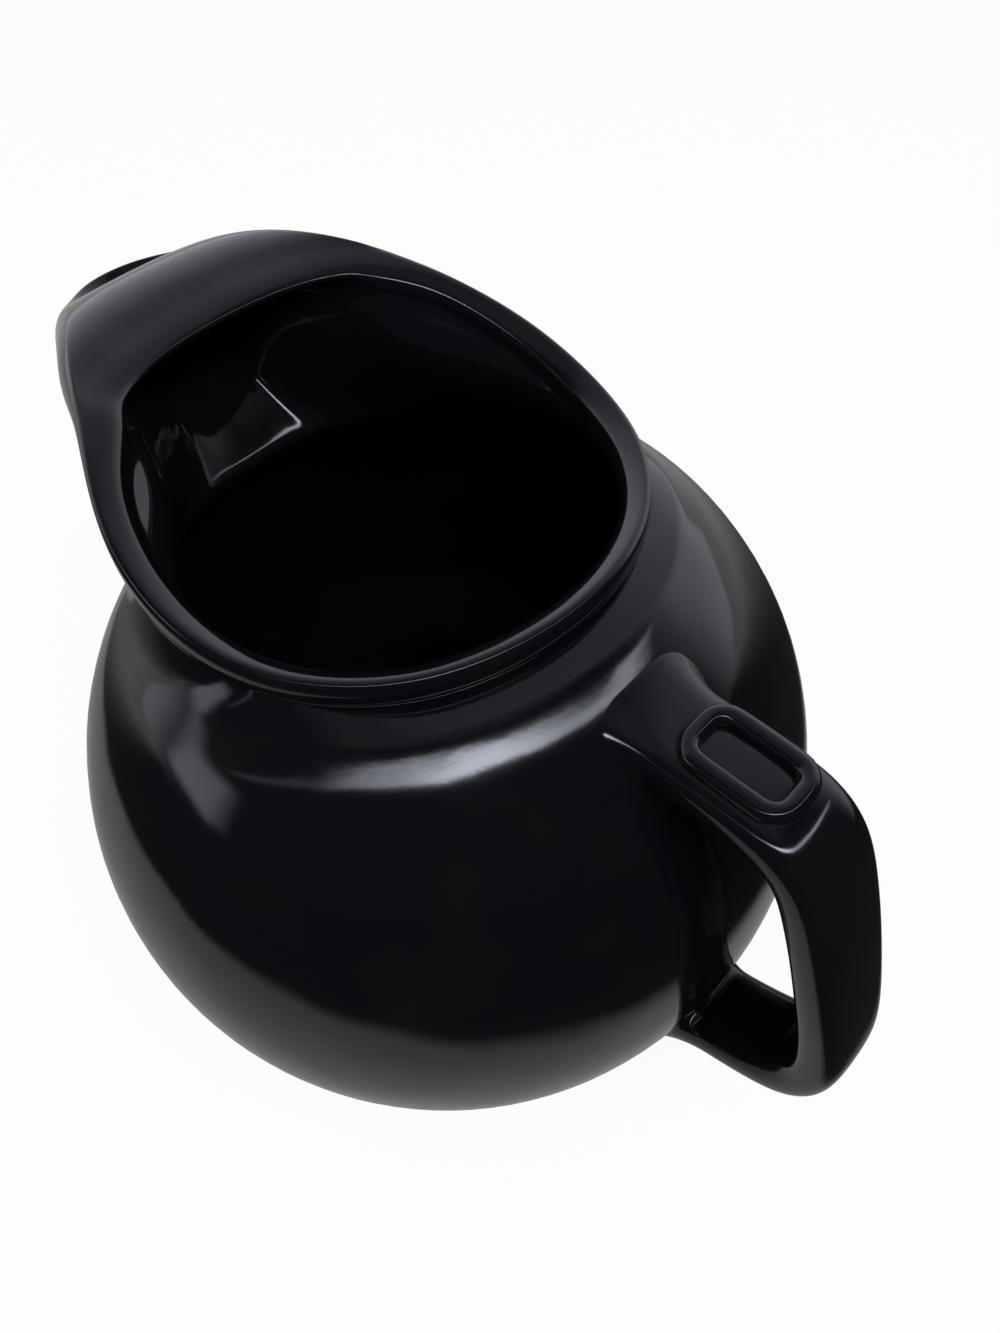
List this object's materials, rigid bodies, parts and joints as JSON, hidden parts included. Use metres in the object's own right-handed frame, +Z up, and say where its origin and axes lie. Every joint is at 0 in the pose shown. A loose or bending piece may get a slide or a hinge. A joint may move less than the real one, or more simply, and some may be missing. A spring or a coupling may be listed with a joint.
{
  "type": "oinochoe jug",
  "caption": "Ball-shaped glazed ceramic pouring jug with a drawn-out beak, an ice guard bridging it, a strap handle with a thumb rest and a foot ring.",
  "frame": {"origin": "on the surface that the jug stands on, under the middle of its length from spout tip to handle", "axes": "+Z up along the globe's axis, -X towards the spout, +X towards the handle"},
  "size_m": [0.2259, 0.176, 0.1837],
  "materials": {
    "black_glaze": "gloss",
    "bare_clay": "matt"
  },
  "bodies": {
    "root": {"body_globe": "black_glaze", "neck_collar": "black_glaze", "rim_lip": "black_glaze", "spout_beak": "black_glaze", "ice_guard": "black_glaze", "handle_strap": "black_glaze", "upper_handle_root": "black_glaze", "lower_handle_root": "black_glaze", "thumb_rest": "black_glaze", "foot_ring": "bare_clay"}
  },
  "joints": []
}
